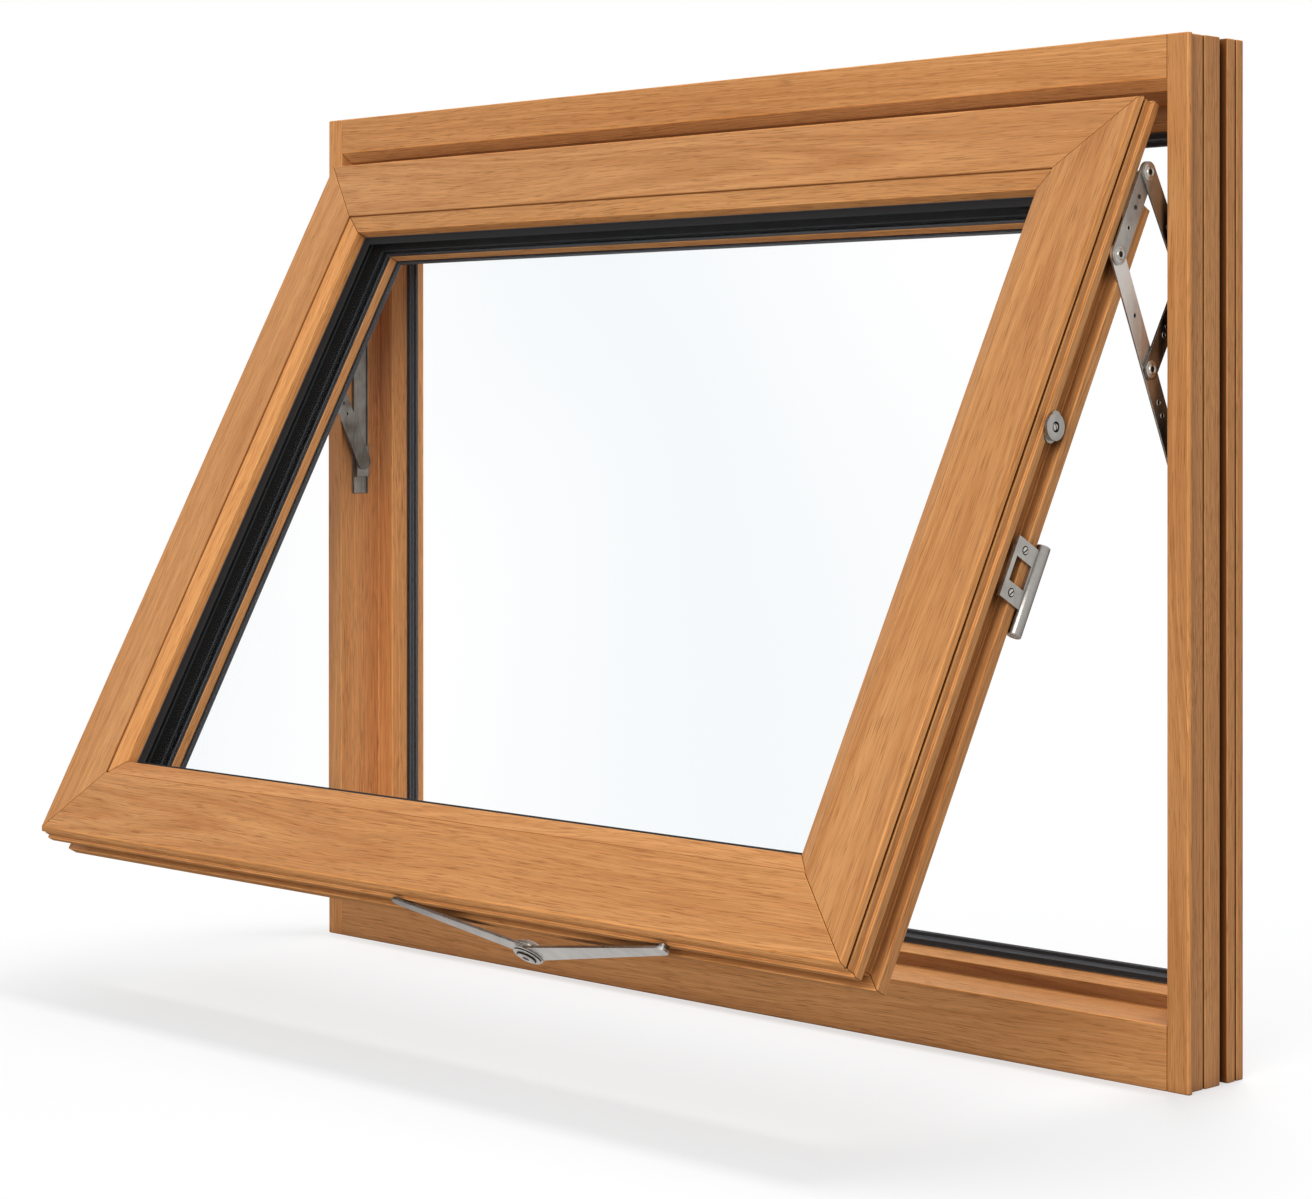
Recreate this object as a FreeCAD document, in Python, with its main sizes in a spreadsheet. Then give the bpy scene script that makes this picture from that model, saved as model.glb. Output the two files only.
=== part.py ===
"""Top hung awning window in oak, standing open on friction stays.

Millimetres. X runs along the sill, Y from outdoors to indoors, Z up. The origin is the middle of the
sill's underside, halfway through the frame's depth. The sash has axes of its own: X along the rails,
Y back from its front face, Z up its slope from the front face's top edge.
"""
import FreeCAD, Part
import math
import os
import re
import Sketcher

DIMENSIONS = {
    # Fixed frame
    "frame_width": 1010,
    "frame_height": 784,
    "frame_depth": 76,
    "jamb_lip": 20,
    "head_lip": 32,
    "sill_lip": 49,
    "head_splay_drop": 9,
    "head_splay_depth": 10,
    "head_fall": 7,
    "sill_fall": 1.5,
    "pocket_depth": 47,
    "stop_rise": 20,
    "sill_stop_rise": 12,
    "stop_bevel_reach": 5,
    "stop_bevel_depth": 14,
    "frame_seal_width": 11,
    "frame_seal_depth": 6,
    "frame_seal_lip": 5,
    "frame_seal_lip_depth": 2.5,
    "inner_reach": 8,
    "jamb_arris": 1,
    "flange_depth": 4.5,
    "flange_reach": 5,
    "front_groove_at": 24.5,
    "front_groove_width": 2,
    "front_groove_depth": 4,
    "fixing_groove_at": 46,
    "fixing_groove_width": 9,
    "fixing_groove_depth": 12,
    "back_groove_at": 65.5,
    "back_groove_width": 1.8,
    "back_groove_depth": 4,
    # Sash and how it hangs
    "opening_angle": 28.7,
    "sash_side_gap": 12,
    "sash_end_gap": 10,
    "sash_top_out": 19.7,
    "sash_top_drop": 15,
    "sash_face_width": 58,
    "edge_overhang": 5,
    "strip_overhang": 2.7,
    "front_arris_out": 3.2,
    "front_arris_depth": 4.2,
    "drip_groove_width": 3,
    "drip_groove_depth": 7,
    "edge_strip_depth": 16,
    "strip_step_depth": 6.5,
    "strip_chamfer": 2.5,
    "hardware_groove_width": 15,
    "hardware_groove_depth": 10,
    "back_lip_depth": 10,
    "nose_setback": 46,
    "upstand_depth": 11,
    "upstand_arris": 3,
    "stay_relief_reach": 45,
    "stay_relief_drop": 70,
    # Glazing
    "bead_reach": 14,
    "bead_step": 1.5,
    "bead_fall": 5,
    "bead_back": 17,
    "gasket_thickness": 4,
    "glass_thickness": 4,
    "glass_gap": 20,
    "glass_edge_clearance": 2,
    "spacer_width": 9,
    # Friction stays
    "track_thickness": 2,
    "track_base": 0.8,
    "track_rim": 1.5,
    "track_width": 18,
    "track_set_in": 23,
    "track_top_drop": 90,
    "track_length": 270,
    "stay_bar_width": 16,
    "stay_clearance": 0.1,
    "stay_sash_set_back": 28,
    "upper_pivot_drop": 49,
    "lower_pivot_drop": 119.4,
    "upper_link_anchor_drop": 176,
    "lower_link_anchor_drop": 188,
    "slider_drop": 329,
    "slider_length": 30,
    "arm_pivot_share": 0.51,
    "rivet_washer": 12,
    "rivet_head": 7,
    "rivet_washer_height": 0.4,
    "rivet_head_height": 0.8,
    "stay_hole": 3,
    "arm_hole_share": 0.27,
    "arm_dimple_share": 0.66,
    "arm_tail_dimple_share": 0.72,
    "plate_hole_share": 0.68,
    "upper_link_hole_share": 0.55,
    "lower_link_hole_share": 0.42,
    "lower_link_dimple_share": 0.52,
    "packer_start_share": 0.1,
    "packer_end_share": 0.55,
    # Roller cam and catch on the stile edges
    "cam_drop": 266,
    "cam_set_back": 22,
    "cam_base_length": 25,
    "cam_base_width": 12,
    "cam_base_height": 1.5,
    "cam_roller": 20,
    "cam_roller_height": 2.5,
    "cam_socket": 8,
    "cam_socket_depth": 1.2,
    "catch_drop": 375,
    "catch_length": 47,
    "catch_front": 24,
    "catch_height": 3,
    "catch_rim": 4,
    "catch_window_length": 19,
    "catch_window_width": 18,
    "barrel": 10.5,
    "barrel_length": 70,
    "barrel_drop": 6.5,
    # Folding restrictor
    "restrictor_right_inset": 177,
    "restrictor_span": 292,
    "restrictor_set_back": 15,
    "restrictor_hang": 8.2,
    "knuckle_share": 0.366,
    "knuckle_back": 50,
    "knuckle_drop": 6.6,
    "restrictor_bar_width": 19,
    "restrictor_tip_width": 10,
    "restrictor_bar_thickness": 2.2,
    "restrictor_rivet": 13,
    "restrictor_rivet_height": 1.6,
    "restrictor_foot": 8,
    "restrictor_foot_clearance": 0.5,
}

doc = FreeCAD.newDocument("awning_window")
sizes = doc.addObject("Spreadsheet::Sheet", "Sizes")
for row, (alias, number) in enumerate(DIMENSIONS.items(), start=1):
    sizes.set(f"A{row}", alias)
    sizes.set(f"B{row}", str(number))
    sizes.setAlias(f"B{row}", alias)
doc.recompute()

# Derived places, written as expressions on the sheet
FRONT = "(-frame_depth / 2)"
HALF_WIDTH = "(frame_width / 2)"
JAMB_WALL = f"({HALF_WIDTH} - jamb_lip)"
SEAL_FRONT = "(pocket_depth + stop_bevel_depth)"
SEAL_BACK = f"({SEAL_FRONT} + frame_seal_depth)"
JAMB_STOP = "(jamb_lip + stop_rise)"
HEAD_STOP = "(head_lip + head_splay_drop + stop_rise)"
SILL_STOP = "(sill_lip + sill_stop_rise)"
SASH_HALF = f"({JAMB_WALL} - sash_side_gap)"
SASH_HEIGHT = "(frame_height - head_lip - sill_lip - 2 * sash_end_gap)"
SASH_EDGE = f"({SASH_HALF} + edge_overhang)"
SASH_TOP_Y = f"({FRONT} - sash_top_out)"
SASH_TOP_Z = "(frame_height - head_lip - sash_top_drop)"
STRIP_FRONT = "(front_arris_depth + drip_groove_width)"
GROOVE_FRONT = f"({STRIP_FRONT} + edge_strip_depth)"
LIP_FRONT = f"({GROOVE_FRONT} + hardware_groove_width)"
SASH_BACK = f"({LIP_FRONT} + back_lip_depth)"
OUTER_PANE_FRONT = "(bead_back + gasket_thickness)"
OUTER_PANE_BACK = f"({OUTER_PANE_FRONT} + glass_thickness)"
INNER_PANE_FRONT = f"({OUTER_PANE_BACK} + glass_gap)"
INNER_PANE_BACK = f"({INNER_PANE_FRONT} + glass_thickness)"
UPSTAND_FRONT = f"({INNER_PANE_BACK} + gasket_thickness)"
NOSE_BACK = f"({UPSTAND_FRONT} + upstand_depth)"
SIGHT_EDGE = "(sash_face_width + bead_reach)"
GLASS_EDGE = "(sash_face_width + glass_edge_clearance)"
SPACER_EDGE = f"({SIGHT_EDGE} - spacer_width)"
TRACK_FACE = f"({JAMB_WALL} - track_thickness)"
TRACK_BED = f"({JAMB_WALL} - track_base)"
TRACK_Y = f"({FRONT} + track_set_in)"
RESTRICTOR_RIGHT_X = f"({SASH_HALF} - restrictor_right_inset)"
RESTRICTOR_LEFT_X = f"({RESTRICTOR_RIGHT_X} - restrictor_span)"
KNUCKLE_X = f"({RESTRICTOR_LEFT_X} + knuckle_share * restrictor_span)"
STAY_LAYER = "((sash_side_gap - edge_overhang - track_thickness) / 3)"


def bound(text):
    """The expression with each size written as a cell of the sheet."""
    return re.sub(r"[a-z_]+", lambda word: f"Sizes.{word[0]}" if word[0] in DIMENSIONS else word[0], text)


def value_of(text):
    return float(sizes.evalExpression(bound(text)))


def negative(text):
    return f"(-({text}))"


def new_body(label):
    body = doc.addObject("PartDesign::Body", label)
    body.Label = label
    return body


def new_sketch(body, name, role, offset="0"):
    """A sketch on one of the body's origin planes, lifted along the plane's own normal."""
    sketch = body.newObject("Sketcher::SketchObject", f"{body.Name}_{name}")
    plane = next(item for item in body.Origin.OriginFeatures if item.Role == role)
    sketch.AttachmentSupport = [(plane, "")]
    sketch.MapMode = "FlatFace"
    sketch.setExpression("AttachmentOffset.Base.z", bound(offset))
    return sketch


def place_point(sketch, curve, point, place):
    """Ties a point of a curve to the sketch's origin by two sheet expressions."""
    for kind, text in zip(("DistanceX", "DistanceY"), place):
        index = sketch.addConstraint(Sketcher.Constraint(kind, -1, 1, curve, point, value_of(text)))
        sketch.setExpression(f"Constraints[{index}]", bound(text))


def add_polygon(sketch, places):
    corners = [FreeCAD.Vector(value_of(across), value_of(up), 0) for across, up in places]
    first = sketch.GeometryCount
    count = len(corners)
    for step in range(count):
        sketch.addGeometry(Part.LineSegment(corners[step], corners[(step + 1) % count]))
    for step in range(count):
        following = first + (step + 1) % count
        sketch.addConstraint(Sketcher.Constraint("Coincident", first + step, 2, following, 1))
    for step, place in enumerate(places):
        place_point(sketch, first + step, 1, place)


def add_rectangle(sketch, left, right, low, high):
    add_polygon(sketch, [(left, low), (right, low), (right, high), (left, high)])


def add_circle(sketch, place, diameter):
    middle = FreeCAD.Vector(value_of(place[0]), value_of(place[1]), 0)
    curve = sketch.addGeometry(Part.Circle(middle, FreeCAD.Vector(0, 0, 1), value_of(diameter) / 2))
    place_point(sketch, curve, 3, place)
    index = sketch.addConstraint(Sketcher.Constraint("Diameter", curve, value_of(diameter)))
    sketch.setExpression(f"Constraints[{index}]", bound(diameter))


def add_bar(sketch, start, end, start_width, end_width):
    """Outline of a flat bar whose rounded ends are centred on its two pivots."""
    first = sketch.GeometryCount
    upright = FreeCAD.Vector(0, 0, 1)
    middles = [FreeCAD.Vector(value_of(place[0]), value_of(place[1]), 0) for place in (start, end)]
    radii = [value_of(start_width) / 2, value_of(end_width) / 2]
    along = (middles[1] - middles[0]).normalize()
    aside = upright.cross(along)
    turn = FreeCAD.Vector(1, 0, 0).getAngle(along)
    turn = -turn if along.y < 0 else turn
    quarter = math.pi / 2
    circles = [Part.Circle(middle, upright, radius) for middle, radius in zip(middles, radii)]
    sketch.addGeometry(Part.ArcOfCircle(circles[0], turn + quarter, turn + 3 * quarter))
    sketch.addGeometry(Part.ArcOfCircle(circles[1], turn - quarter, turn + quarter))
    sketch.addGeometry(Part.LineSegment(middles[0] - aside * radii[0], middles[1] - aside * radii[1]))
    sketch.addGeometry(Part.LineSegment(middles[1] + aside * radii[1], middles[0] + aside * radii[0]))
    sketch.addConstraint(Sketcher.Constraint("Tangent", first, 2, first + 2, 1))
    sketch.addConstraint(Sketcher.Constraint("Tangent", first + 2, 2, first + 1, 1))
    sketch.addConstraint(Sketcher.Constraint("Tangent", first + 1, 2, first + 3, 1))
    sketch.addConstraint(Sketcher.Constraint("Tangent", first + 3, 2, first, 1))
    for curve, place, width in ((first, start, start_width), (first + 1, end, end_width)):
        place_point(sketch, curve, 3, place)
        index = sketch.addConstraint(Sketcher.Constraint("Radius", curve, value_of(width) / 2))
        sketch.setExpression(f"Constraints[{index}]", bound(f"{width} / 2"))


def add_pad(body, sketch, length):
    pad = body.newObject("PartDesign::Pad", f"{sketch.Name}_pad")
    pad.Profile = sketch
    pad.setExpression("Length", bound(length))
    doc.recompute()


def cut_through(body, sketch, reverse=False):
    """Cuts the sketch through the whole body and makes sure that material came away."""
    whole = body.Shape.Volume
    pocket = body.newObject("PartDesign::Pocket", f"{sketch.Name}_cut")
    pocket.Profile = sketch
    pocket.Type = "ThroughAll"
    pocket.Reversed = reverse
    doc.recompute()
    if body.Shape.Volume > whole - 1:
        raise RuntimeError(f"{pocket.Name} cuts nothing")


def seat_on_sash(body):
    """Hangs a piece on the open sash, whose top front edge is the axis that it tilts about."""
    tilt = FreeCAD.Rotation(FreeCAD.Vector(1, 0, 0), -value_of("opening_angle"))
    body.Placement = FreeCAD.Placement(FreeCAD.Vector(0, value_of(SASH_TOP_Y), value_of(SASH_TOP_Z)), tilt)
    body.setExpression("Placement.Base.y", bound(SASH_TOP_Y))
    body.setExpression("Placement.Base.z", bound(SASH_TOP_Z))
    body.setExpression("Placement.Rotation.Angle", bound("-opening_angle"))


def sash_place(set_back, drop):
    """Where a point of the sash's edge lies in the frame's own Y and Z."""
    across = f"({SASH_TOP_Y} + ({set_back}) * cos(opening_angle) - ({drop}) * sin(opening_angle))"
    up = f"({SASH_TOP_Z} - ({set_back}) * sin(opening_angle) - ({drop}) * cos(opening_angle))"
    return across, up


def between(start, end, share):
    return tuple(f"(({one}) + ({share}) * (({two}) - ({one})))" for one, two in zip(start, end))


def stop_outline(lip, ledge, stop):
    """Section of a frame member from its front face round to its back: reach from the outer edge, depth."""
    seal_seat = f"({stop} + stop_bevel_reach)"
    return [
        (lip, "0"),
        *ledge,
        (stop, "pocket_depth"),
        (seal_seat, SEAL_FRONT),
        (seal_seat, SEAL_BACK),
        (f"{seal_seat} + inner_reach", SEAL_BACK),
        (f"{seal_seat} + inner_reach", "frame_depth"),
    ]


def frame_jamb(label, side):
    """Full-height upright: a front flange, then sealant and fixing grooves in its outer edge."""
    grooves = []
    for groove in ("back_groove", "fixing_groove", "front_groove"):
        start, end = f"{groove}_at", f"{groove}_at + {groove}_width"
        floor = f"flange_reach + {groove}_depth"
        grooves += [("flange_reach", end), (floor, end), (floor, start), ("flange_reach", start)]
    section = stop_outline("jamb_lip", [("jamb_lip", "pocket_depth")], JAMB_STOP)
    section += [("flange_reach", "frame_depth"), *grooves]
    section += [("flange_reach", "flange_depth"), ("0", "flange_depth")]
    section += [("0", "jamb_arris"), ("jamb_arris", "0")]
    body = new_body(label)
    sketch = new_sketch(body, "section", "XY_Plane")
    across = f"{side} * ({HALF_WIDTH} - ({{}}))"
    add_polygon(sketch, [(across.format(reach), f"{FRONT} + {deep}") for reach, deep in section])
    add_pad(body, sketch, "frame_height")


def frame_crosspiece(label, outline, from_outer_edge, reverse):
    """Head or sill: runs between the jambs' front lips and is scribed round their stops."""
    section = outline + [("0", "frame_depth"), ("0", "0")]
    body = new_body(label)
    sketch = new_sketch(body, "section", "YZ_Plane", negative(JAMB_WALL))
    add_polygon(sketch, [(f"{FRONT} + {deep}", from_outer_edge.format(reach)) for reach, deep in section])
    add_pad(body, sketch, f"2 * {JAMB_WALL}")
    scribe = new_sketch(body, "scribe", "XY_Plane", "frame_height / 2")
    jamb_stop = stop_outline("jamb_lip", [("jamb_lip", "pocket_depth")], JAMB_STOP)[1:-1]
    past_back = "frame_depth + jamb_lip"
    jamb_stop += [(jamb_stop[-1][0], past_back), ("jamb_lip", past_back)]
    for side in (-1, 1):
        across = f"{side} * ({HALF_WIDTH} - ({{}}))"
        add_polygon(scribe, [(across.format(reach), f"{FRONT} + {deep}") for reach, deep in jamb_stop])
    cut_through(body, scribe, reverse)


def surround(body, name, half_width, low, high, outer, inner, back, depth):
    """A rectangular ring of even section, set in from an edge, from its back face forward."""
    sketch = new_sketch(body, name, "XZ_Plane", negative(back))
    for inset in (outer, inner):
        side = f"({half_width} - ({inset}))"
        add_rectangle(sketch, negative(side), side, f"{low} + ({inset})", f"{high} - ({inset})")
    add_pad(body, sketch, depth)


def sash_surround(label, outer, inner, back, depth):
    body = new_body(label)
    surround(body, "ring", SASH_HALF, negative(SASH_HEIGHT), "0", outer, inner, back, depth)
    seat_on_sash(body)


def sash_side(label, side, section, relieved):
    """One mitred side of the sash or of its beads; the section gives reach in from the edge and depth.
    A relieved side is cut away behind its edge strip at the top corners, where the stays fold."""
    upright = side in ("left", "right")
    ends = [(-1, 1), (1, 1)] if side == "top" else [(-1, -1), (1, -1)]
    body = new_body(label)
    if upright:
        sign = 1 if side == "right" else -1
        ends = [(sign, 1), (sign, -1)]
        sketch = new_sketch(body, "section", "XY_Plane", f"-{SASH_HEIGHT} - edge_overhang")
        add_polygon(sketch, [(f"{sign} * ({SASH_HALF} - ({reach}))", deep) for reach, deep in section])
        add_pad(body, sketch, f"{SASH_HEIGHT} + 2 * edge_overhang")
    else:
        edge = "-({})" if side == "top" else f"-{SASH_HEIGHT} + ({{}})"
        sketch = new_sketch(body, "section", "YZ_Plane", negative(SASH_EDGE))
        add_polygon(sketch, [(deep, edge.format(reach)) for reach, deep in section])
        add_pad(body, sketch, f"2 * {SASH_EDGE}")
    mitre = new_sketch(body, "mitre", "XZ_Plane")
    inside, outside = f"({SIGHT_EDGE} + edge_overhang)", "(2 * edge_overhang)"
    for right, top in ends:
        corner_x = f"{right} * {SASH_HALF}"
        corner_z = "0" if top > 0 else negative(SASH_HEIGHT)
        past = (f"{corner_x} + {right} * {outside}", f"{corner_z} + {top} * {outside}")
        within = (f"{corner_x} - {right} * {inside}", f"{corner_z} - {top} * {inside}")
        waste = (within[0], past[1]) if upright else (past[0], within[1])
        add_polygon(mitre, [past, waste, within])
    cut_through(body, mitre)
    if relieved:
        relief = new_sketch(body, "relief", "XZ_Plane", negative(GROOVE_FRONT))
        for right in sorted({right for right, top in ends if top > 0}):
            near = f"{right} * ({SASH_HALF} - stay_relief_reach)"
            past = f"{right} * ({SASH_EDGE} + edge_overhang)"
            add_rectangle(relief, near, past, "-stay_relief_drop", outside)
        cut_through(body, relief)
    seat_on_sash(body)


def pane(label, back):
    body = new_body(label)
    sketch = new_sketch(body, "sheet", "XZ_Plane", negative(back))
    side = f"({SASH_HALF} - {GLASS_EDGE})"
    add_rectangle(sketch, negative(side), side, f"-{SASH_HEIGHT} + {GLASS_EDGE}", negative(GLASS_EDGE))
    add_pad(body, sketch, "glass_thickness")
    seat_on_sash(body)


def side_layer(side, low, high):
    """Sketch offset and length of a pad that spans two distances from the window's middle."""
    return (low if side > 0 else negative(high)), f"({high}) - ({low})"


def add_disc(body, name, side, place, diameter, low, high):
    offset, length = side_layer(side, low, high)
    sketch = new_sketch(body, name, "YZ_Plane", offset)
    add_circle(sketch, place, diameter)
    add_pad(body, sketch, length)


def add_rivet(body, name, side, place, face):
    """Pressed washer and domed head on the outer face of a bar."""
    washer = f"{face} + rivet_washer_height"
    add_disc(body, f"{name}_washer", side, place, "rivet_washer", face, washer)
    add_disc(body, f"{name}_head", side, place, "rivet_head", washer, f"{washer} + rivet_head_height")


def stay_bar(label, side, start, end, layer, hole_shares):
    """Flat steel bar of a stay, from pivot to pivot, in one of the layers beside the sash."""
    low = f"({SASH_EDGE} + {layer} * {STAY_LAYER})"
    high = f"({low} + {STAY_LAYER} - stay_clearance)"
    offset, length = side_layer(side, low, high)
    body = new_body(label)
    sketch = new_sketch(body, "bar", "YZ_Plane", offset)
    add_bar(sketch, start, end, "stay_bar_width", "stay_bar_width")
    for share in hole_shares:
        add_circle(sketch, between(start, end, share), "stay_hole")
    add_pad(body, sketch, length)
    return body, low, high


def friction_stay(name, side):
    """Four-bar friction stay between a jamb's pocket wall and the sash's edge."""
    upper = sash_place("stay_sash_set_back", "upper_pivot_drop")
    lower = sash_place("stay_sash_set_back", "lower_pivot_drop")
    upper_anchor = (TRACK_Y, "frame_height - upper_link_anchor_drop")
    lower_anchor = (TRACK_Y, "frame_height - lower_link_anchor_drop")
    slider = (TRACK_Y, "frame_height - slider_drop")
    arm_pivot = between(lower, slider, "arm_pivot_share")

    track = new_body(f"stay_track_{name}")
    sketch = new_sketch(track, "channel", "XY_Plane", "frame_height - track_top_drop - track_length")
    rim, web = "track_width / 2", "track_width / 2 - track_rim"
    channel = [(JAMB_WALL, negative(rim)), (JAMB_WALL, rim), (TRACK_FACE, rim), (TRACK_FACE, web)]
    channel += [(TRACK_BED, web), (TRACK_BED, negative(web))]
    channel += [(TRACK_FACE, negative(web)), (TRACK_FACE, negative(rim))]
    add_polygon(sketch, [(f"{side} * {across}", f"{TRACK_Y} + {deep}") for across, deep in channel])
    add_pad(track, sketch, "track_length")

    arm_holes = ("arm_hole_share", "arm_dimple_share", "arm_tail_dimple_share")
    arm_face = stay_bar(f"stay_arm_{name}", side, lower, slider, 0, arm_holes)[2]

    shoe = new_body(f"stay_slider_{name}")
    offset, length = side_layer(side, arm_face, TRACK_BED)
    sketch = new_sketch(shoe, "block", "YZ_Plane", offset)
    half_width, half_length = f"({web} - stay_clearance)", "slider_length / 2"
    add_rectangle(
        sketch,
        f"{slider[0]} - {half_width}",
        f"{slider[0]} + {half_width}",
        f"{slider[1]} - {half_length}",
        f"{slider[1]} + {half_length}",
    )
    add_pad(shoe, sketch, length)

    plate, low, plate_face = stay_bar(f"stay_sash_plate_{name}", side, upper, lower, 1, ["plate_hole_share"])
    offset, length = side_layer(side, SASH_EDGE, low)
    sketch = new_sketch(plate, "packer", "YZ_Plane", offset)
    packer = [between(upper, lower, share) for share in ("packer_start_share", "packer_end_share")]
    add_bar(sketch, *packer, "stay_bar_width", "stay_bar_width")
    add_pad(plate, sketch, length)
    add_rivet(plate, "foot", side, lower, plate_face)

    upper_link = (f"stay_upper_link_{name}", side, upper, upper_anchor)
    link, low, link_face = stay_bar(*upper_link, 2, ["upper_link_hole_share"])
    add_rivet(link, "sash", side, upper, link_face)
    add_disc(link, "anchor", side, upper_anchor, "rivet_head", link_face, TRACK_BED)

    lower_link = (f"stay_lower_link_{name}", side, arm_pivot, lower_anchor)
    link_holes = ("lower_link_hole_share", "lower_link_dimple_share")
    link, low, link_face = stay_bar(*lower_link, 1, link_holes)
    add_rivet(link, "arm", side, arm_pivot, link_face)
    add_disc(link, "anchor", side, lower_anchor, "rivet_head", link_face, TRACK_BED)


def roller_cam(name, side):
    """Locking roller on a stile's edge: a round-ended base, a roller and its screw's socket."""
    body = new_body(f"sash_roller_cam_{name}")
    base_face = f"({SASH_EDGE} + cam_base_height)"
    roller_face = f"({base_face} + cam_roller_height)"
    offset, length = side_layer(side, SASH_EDGE, base_face)
    sketch = new_sketch(body, "base", "YZ_Plane", offset)
    half = "(cam_base_length - cam_base_width) / 2"
    top, bottom = ("cam_set_back", f"-cam_drop + {half}"), ("cam_set_back", f"-cam_drop - {half}")
    add_bar(sketch, top, bottom, "cam_base_width", "cam_base_width")
    add_pad(body, sketch, length)
    offset, length = side_layer(side, base_face, roller_face)
    sketch = new_sketch(body, "roller", "YZ_Plane", offset)
    middle = ("cam_set_back", "-cam_drop")
    add_circle(sketch, middle, "cam_roller")
    add_pad(body, sketch, length)
    offset, length = side_layer(side, f"{roller_face} - cam_socket_depth", roller_face)
    sketch = new_sketch(body, "socket", "YZ_Plane", offset)
    add_circle(sketch, middle, "cam_socket")
    whole = body.Shape.Volume
    socket = body.newObject("PartDesign::Pocket", f"{sketch.Name}_cut")
    socket.Profile = sketch
    socket.Reversed = True
    socket.setExpression("Length", bound(length))
    doc.recompute()
    if body.Shape.Volume > whole - 1:
        raise RuntimeError(f"{socket.Name} cuts nothing")
    seat_on_sash(body)


def sash_catch(name, side):
    """Catch on a stile's edge: a windowed plate rolled at its back into an open barrel."""
    body = new_body(f"sash_catch_{name}")
    offset, length = side_layer(side, SASH_EDGE, f"{SASH_EDGE} + catch_height")
    sketch = new_sketch(body, "plate", "YZ_Plane", offset)
    top, bottom = "-catch_drop + catch_length / 2", "-catch_drop - catch_length / 2"
    barrel_middle = f"({SASH_BACK} + barrel / 2)"
    add_rectangle(sketch, "catch_front", barrel_middle, bottom, top)
    add_rectangle(
        sketch,
        "catch_front + catch_rim",
        "catch_front + catch_rim + catch_window_width",
        "-catch_drop - catch_window_length / 2",
        "-catch_drop + catch_window_length / 2",
    )
    add_pad(body, sketch, length)
    sketch = new_sketch(body, "barrel", "XY_Plane", "-catch_drop - barrel_drop - barrel_length / 2")
    add_circle(sketch, (f"{side} * ({SASH_EDGE} + catch_height / 2)", barrel_middle), "barrel")
    add_pad(body, sketch, "barrel_length")
    seat_on_sash(body)


def restrictor():
    """Folding restrictor parked under the bottom rail: two flat arms riveted at a knuckle, each turning on a
    foot on the rail's edge strip."""

    def under_rail(across, set_back, hang):
        deep, up = sash_place(set_back, f"{SASH_HEIGHT} + {hang}")
        return FreeCAD.Vector(value_of(across), value_of(deep), value_of(up))

    left_end = under_rail(RESTRICTOR_LEFT_X, "restrictor_set_back", "restrictor_hang")
    right_end = under_rail(RESTRICTOR_RIGHT_X, "restrictor_set_back", "restrictor_hang")
    low_set_back = "restrictor_set_back + knuckle_back"
    knuckle = under_rail(KNUCKLE_X, low_set_back, "restrictor_hang + knuckle_drop")
    normal = (knuckle - left_end).cross(right_end - left_end).normalize()
    normal = normal if normal.z > 0 else -normal

    def arm(label, end, lift, rivet_face):
        reach = str((end - knuckle).Length)
        along = (end - knuckle).normalize()
        turn = FreeCAD.Rotation(along, normal.cross(along), normal, "ZXY")
        body = new_body(label)
        sketch = new_sketch(body, "bar", "XY_Plane", lift)
        add_bar(sketch, ("0", "0"), (reach, "0"), "restrictor_bar_width", "restrictor_tip_width")
        add_pad(body, sketch, "restrictor_bar_thickness")
        sketch = new_sketch(body, "rivet", "XY_Plane", rivet_face)
        add_circle(sketch, ("0", "0"), "restrictor_rivet")
        add_pad(body, sketch, "restrictor_rivet_height")
        body.Placement = FreeCAD.Placement(knuckle, turn)

    under = "-restrictor_bar_thickness"
    arm("restrictor_left_arm", left_end, "0", "restrictor_bar_thickness")
    arm("restrictor_right_arm", right_end, under, f"{under} - restrictor_rivet_height")

    def foot(label, across, arm_top):
        body = new_body(label)
        low = f"{arm_top} - restrictor_foot_clearance"
        sketch = new_sketch(body, "stud", "XY_Plane", f"-{SASH_HEIGHT} - ({low})")
        add_circle(sketch, (across, "restrictor_set_back"), "restrictor_foot")
        add_pad(body, sketch, f"{low} - edge_overhang")
        seat_on_sash(body)

    foot("restrictor_left_foot", RESTRICTOR_LEFT_X, "restrictor_hang - restrictor_bar_thickness")
    foot("restrictor_right_foot", RESTRICTOR_RIGHT_X, "restrictor_hang")


# Fixed frame
frame_jamb("frame_jamb_left", -1)
frame_jamb("frame_jamb_right", 1)
head_ledge = [
    ("head_lip + head_splay_drop", "head_splay_depth"),
    ("head_lip + head_splay_drop + head_fall", "pocket_depth"),
]
sill_ledge = [("sill_lip + sill_fall", "pocket_depth")]
head_outline = stop_outline("head_lip", head_ledge, HEAD_STOP)
sill_outline = stop_outline("sill_lip", sill_ledge, SILL_STOP)
frame_crosspiece("frame_head", head_outline, "frame_height - ({})", True)
frame_crosspiece("frame_sill", sill_outline, "({})", False)

# Weather seal pressed into the corner of the frame's stop
seal = new_body("frame_seal")
seal_half = f"({HALF_WIDTH} - {JAMB_STOP} - stop_bevel_reach)"
seal_low = f"({SILL_STOP} + stop_bevel_reach)"
seal_high = f"(frame_height - {HEAD_STOP} - stop_bevel_reach)"
seal_base = "(frame_seal_width - frame_seal_lip)"
seal_back = f"{FRONT} + {SEAL_BACK}"
seal_room = (seal_half, seal_low, seal_high)
surround(seal, "base", *seal_room, "0", seal_base, seal_back, "frame_seal_depth")
surround(seal, "lip", *seal_room, seal_base, "frame_seal_width", seal_back, "frame_seal_lip_depth")

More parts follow.
